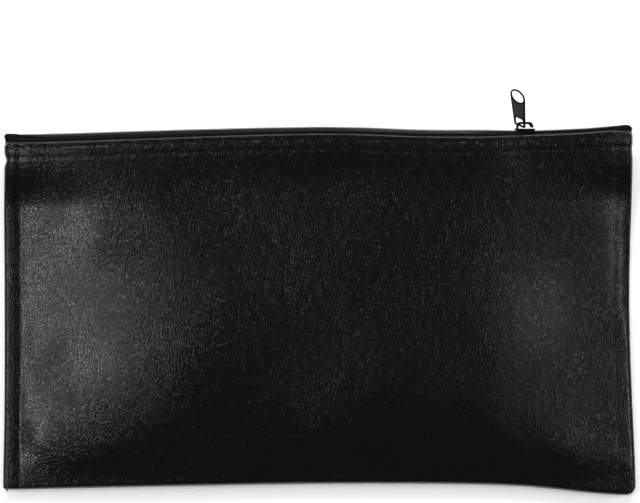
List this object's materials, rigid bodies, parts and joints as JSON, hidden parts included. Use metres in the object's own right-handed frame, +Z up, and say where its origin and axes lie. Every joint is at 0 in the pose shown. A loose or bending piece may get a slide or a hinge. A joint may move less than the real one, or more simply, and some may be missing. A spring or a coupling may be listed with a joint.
{
  "type": "zip deposit bag",
  "caption": "Flat black vinyl zip bag with a nylon coil zipper along one long edge, a folded bottom, turned side seams and a slider with a pull tab.",
  "frame": {"origin": "on the resting face of the back panel, at the middle of the bag's width", "axes": "+X along the zipper, +Y from the bottom fold to the mouth, +Z up through the bag's thickness, front panel on top"},
  "size_m": [0.2801, 0.1791, 0.0225],
  "materials": {
    "vinyl": "satin grained",
    "zipper_tape": "woven matte",
    "coil_nylon": "satin",
    "sewing_thread": "matte",
    "lacquered_zinc": "satin lacquer"
  },
  "bodies": {
    "bag": {"front_panel": "vinyl", "back_panel": "vinyl", "front_tape": "zipper_tape", "back_tape": "zipper_tape", "left_tape_tail": "zipper_tape", "right_tape_tail": "zipper_tape", "front_coil": "coil_nylon", "back_coil": "coil_nylon", "front_coil_cord": "sewing_thread", "back_coil_cord": "sewing_thread", "front_coil_thread": "sewing_thread", "back_coil_thread": "sewing_thread", "front_mouth_stitch": "sewing_thread", "back_mouth_stitch": "sewing_thread", "left_seam_thread": "sewing_thread", "right_seam_thread": "sewing_thread"},
    "slider": {"slider_body": "lacquered_zinc"},
    "pull": {"pull_tab": "lacquered_zinc"}
  },
  "joints": [
    {"name": "slider_travel", "type": "slide", "parent": "bag", "child": "slider", "axis": [1, 0, 0], "range_m": [-0.205, 0.034], "deforming": ["front_tape", "back_tape", "front_coil", "back_coil", "front_coil_cord", "back_coil_cord", "front_coil_thread", "back_coil_thread"]},
    {"name": "pull_swing", "type": "hinge", "parent": "slider", "child": "pull", "pos_m": [0.0888, 0.08243, 0.0076], "axis": [0.7732, -0.3764, 0.5104], "range_deg": [-20, 48]}
  ]
}
